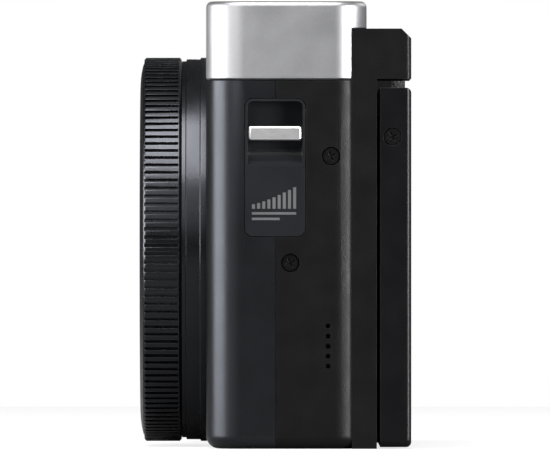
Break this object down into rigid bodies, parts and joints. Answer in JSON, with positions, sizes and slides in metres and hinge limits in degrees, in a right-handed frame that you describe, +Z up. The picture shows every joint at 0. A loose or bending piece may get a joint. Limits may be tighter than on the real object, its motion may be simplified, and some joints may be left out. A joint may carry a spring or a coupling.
{
  "type": "compact digital camera",
  "caption": "Compact travel-zoom camera: telescoping lens with ribbed control ring, flip-up rear monitor, eye-level finder, top dials and hinged doors.",
  "frame": {"origin": "middle of the base, on the surface the camera stands on", "axes": "+X along the width away from the grip, -Y the way the lens points, +Z up"},
  "size_m": [0.112, 0.0419, 0.0688],
  "materials": {
    "satin_silver": "satin silver lacquer",
    "blue_grey_metal": "satin dark blue-grey metallic lacquer",
    "textured_black": "fine textured black",
    "smooth_black": "smooth semi-matt black",
    "panel_plastic": "dark grey moulded plastic",
    "lug_steel": "polished",
    "screw_black": "black oxide",
    "ring_aluminium": "black anodised, fine turned",
    "barrel_black": "semi-gloss black",
    "lens_glass": "coated optical glass",
    "window_clear": "clear moulded window",
    "screen_glass": "dark gloss screen",
    "grip_rubber": "leather-grained elastomer",
    "board_green": "solder mask",
    "sheet_metal": "stamped",
    "silver_metal": "spun silver control",
    "socket_steel": "machined",
    "battery_wrap": "battery sleeve",
    "lamp_amber": "focus lamp lens"
  },
  "bodies": {
    "case": {"front_cover": "blue_grey_metal", "rear_cover": "textured_black", "top_cover": "satin_silver", "grip": "grip_rubber", "thumb_rest": "grip_rubber", "strap_panels": "panel_plastic", "strap_lugs": "lug_steel", "case_screws": "screw_black", "lens_base_ring": "ring_aluminium", "lens_bezel": "ring_aluminium", "lens_housing": "smooth_black", "chassis_plate": "sheet_metal", "main_board": "board_green", "image_sensor": "board_green", "zoom_motor": "sheet_metal", "battery": "battery_wrap", "battery_holder": "smooth_black", "card_socket": "sheet_metal", "tripod_socket": "socket_steel", "speaker": "smooth_black", "io_sockets": "smooth_black", "flash_window": "window_clear", "flash_unit": "sheet_metal", "flash_capacitor": "battery_wrap", "af_lamp": "lamp_amber", "microphones": "smooth_black", "evf_unit": "smooth_black", "evf_eyepiece": "smooth_black"},
    "control_ring": {"control_ring": "ring_aluminium"},
    "cam_ring": {"cam_ring": "smooth_black"},
    "outer_barrel": {"outer_barrel": "barrel_black"},
    "middle_barrel": {"middle_barrel": "barrel_black"},
    "inner_barrel": {"inner_barrel": "barrel_black", "lens_front_ring": "barrel_black", "front_lens": "lens_glass"},
    "upper_blade": {"barrier_blade_upper": "barrel_black"},
    "lower_blade": {"barrier_blade_lower": "barrel_black"},
    "zoom_group": {"zoom_lens_group": "barrel_black"},
    "focus_group": {"focus_lens_group": "barrel_black"},
    "zoom_lever": {"zoom_lever": "silver_metal"},
    "shutter_button": {"shutter_button": "silver_metal"},
    "mode_dial": {"mode_dial": "silver_metal"},
    "power_button": {"power_button": "silver_metal"},
    "movie_button": {"movie_button": "smooth_black"},
    "rear_dial": {"rear_dial": "silver_metal"},
    "set_button": {"set_button": "silver_metal"},
    "playback_button": {"playback_button": "smooth_black"},
    "menu_button": {"menu_button": "smooth_black"},
    "disp_button": {"disp_button": "smooth_black"},
    "lvf_button": {"lvf_button": "smooth_black"},
    "diopter_wheel": {"diopter_wheel": "smooth_black"},
    "monitor_arm": {"monitor_arm": "textured_black"},
    "monitor": {"monitor_frame": "smooth_black", "monitor_glass": "screen_glass", "monitor_screws": "screw_black"},
    "battery_door": {"battery_door": "textured_black"},
    "door_lock": {"door_lock": "textured_black"},
    "port_door": {"port_door": "textured_black"}
  },
  "joints": [
    {"name": "lens_extend", "type": "slide", "parent": "case", "child": "outer_barrel", "axis": [0, -1, 0], "range_m": [0, 0.014]},
    {"name": "middle_extend", "type": "slide", "parent": "outer_barrel", "child": "middle_barrel", "axis": [0, -1, 0], "range_m": [0, 0.013]},
    {"name": "inner_extend", "type": "slide", "parent": "middle_barrel", "child": "inner_barrel", "axis": [0, -1, 0], "range_m": [0, 0.01]},
    {"name": "cam_turn", "type": "hinge", "parent": "case", "child": "cam_ring", "pos_m": [0.0115, 0, 0.0306], "axis": [0, 1, 0], "range_deg": [0, 150]},
    {"name": "upper_blade_swing", "type": "hinge", "parent": "inner_barrel", "child": "upper_blade", "pos_m": [0.0255, -0.019, 0.0306], "axis": [0, 1, 0], "range_deg": [0, 39.5]},
    {"name": "lower_blade_swing", "type": "hinge", "parent": "inner_barrel", "child": "lower_blade", "pos_m": [-0.0025, -0.019, 0.0306], "axis": [0, 1, 0], "range_deg": [0, 39.5]},
    {"name": "zoom_group_slide", "type": "slide", "parent": "inner_barrel", "child": "zoom_group", "axis": [0, 1, 0], "range_m": [0, 0.005]},
    {"name": "focus_slide", "type": "slide", "parent": "case", "child": "focus_group", "axis": [0, -1, 0], "range_m": [0, 0.002]},
    {"name": "control_ring_turn", "type": "hinge", "parent": "case", "child": "control_ring", "pos_m": [0.0115, -0.017, 0.0306], "axis": [0, 1, 0], "continuous": true},
    {"name": "zoom_lever_turn", "type": "hinge", "parent": "case", "child": "zoom_lever", "pos_m": [-0.043, -0.0023, 0.065], "axis": [0, 0, 1], "range_deg": [-22, 22], "stiffness_Nm_per_rad": 0.002},
    {"name": "shutter_press", "type": "slide", "parent": "case", "child": "shutter_button", "axis": [0, 0, -1], "range_m": [0, 0.0009], "stiffness_N_per_m": 60, "springref_m": -0.0012},
    {"name": "power_press", "type": "slide", "parent": "case", "child": "power_button", "axis": [0, 0, -1], "range_m": [0, 0.0005], "stiffness_N_per_m": 60, "springref_m": -0.001},
    {"name": "movie_press", "type": "slide", "parent": "case", "child": "movie_button", "axis": [0, 0, -1], "range_m": [0, 0.0005], "stiffness_N_per_m": 60, "springref_m": -0.001},
    {"name": "mode_dial_turn", "type": "hinge", "parent": "case", "child": "mode_dial", "pos_m": [-0.0185, 0.0038, 0.066], "axis": [0, 0, 1], "continuous": true},
    {"name": "rear_dial_turn", "type": "hinge", "parent": "case", "child": "rear_dial", "pos_m": [-0.0385, 0.018, 0.027], "axis": [0, 1, 0], "continuous": true},
    {"name": "set_press", "type": "slide", "parent": "case", "child": "set_button", "axis": [0, -1, 0], "range_m": [0, 0.0005], "stiffness_N_per_m": 60, "springref_m": -0.001},
    {"name": "playback_press", "type": "slide", "parent": "case", "child": "playback_button", "axis": [0, -1, 0], "range_m": [0, 0.0005], "stiffness_N_per_m": 60, "springref_m": -0.001},
    {"name": "menu_press", "type": "slide", "parent": "case", "child": "menu_button", "axis": [0, -1, 0], "range_m": [0, 0.0005], "stiffness_N_per_m": 60, "springref_m": -0.001},
    {"name": "disp_press", "type": "slide", "parent": "case", "child": "disp_button", "axis": [0, -1, 0], "range_m": [0, 0.0005], "stiffness_N_per_m": 60, "springref_m": -0.001},
    {"name": "lvf_press", "type": "slide", "parent": "case", "child": "lvf_button", "axis": [0, -1, 0], "range_m": [0, 0.0005], "stiffness_N_per_m": 60, "springref_m": -0.001},
    {"name": "diopter_turn", "type": "hinge", "parent": "case", "child": "diopter_wheel", "pos_m": [0.0485, 0.0189, 0.0606], "axis": [1, 0, 0], "range_deg": [-120, 120]},
    {"name": "arm_swing", "type": "hinge", "parent": "case", "child": "monitor_arm", "pos_m": [0, 0.015, 0.02], "axis": [1, 0, 0], "range_deg": [-16, 0]},
    {"name": "monitor_flip", "type": "hinge", "parent": "monitor_arm", "child": "monitor", "pos_m": [0, 0.0182, 0.0542], "axis": [1, 0, 0], "range_deg": [0, 196]},
    {"name": "battery_door_swing", "type": "hinge", "parent": "case", "child": "battery_door", "pos_m": [-0.0206, 0, 0.0006], "axis": [0, 1, 0], "range_deg": [-95, 0]},
    {"name": "door_lock_slide", "type": "slide", "parent": "battery_door", "child": "door_lock", "axis": [1, 0, 0], "range_m": [0, 0.002]},
    {"name": "port_door_swing", "type": "hinge", "parent": "case", "child": "port_door", "pos_m": [-0.0554, 0.0022, 0.017], "axis": [0, 0, 1], "range_deg": [0, 100]}
  ],
  "couplings": [
    {"joint": "middle_extend", "follows": "lens_extend", "ratio": 0.92856},
    {"joint": "inner_extend", "follows": "lens_extend", "ratio": 0.71428},
    {"joint": "cam_turn", "follows": "lens_extend", "rad_per_m": 186.99},
    {"joint": "lower_blade_swing", "follows": "upper_blade_swing", "ratio": 1},
    {"joint": "zoom_group_slide", "follows": "lens_extend", "ratio": 0.357},
    {"joint": "arm_swing", "follows": "monitor_flip", "ratio": -0.0816}
  ]
}
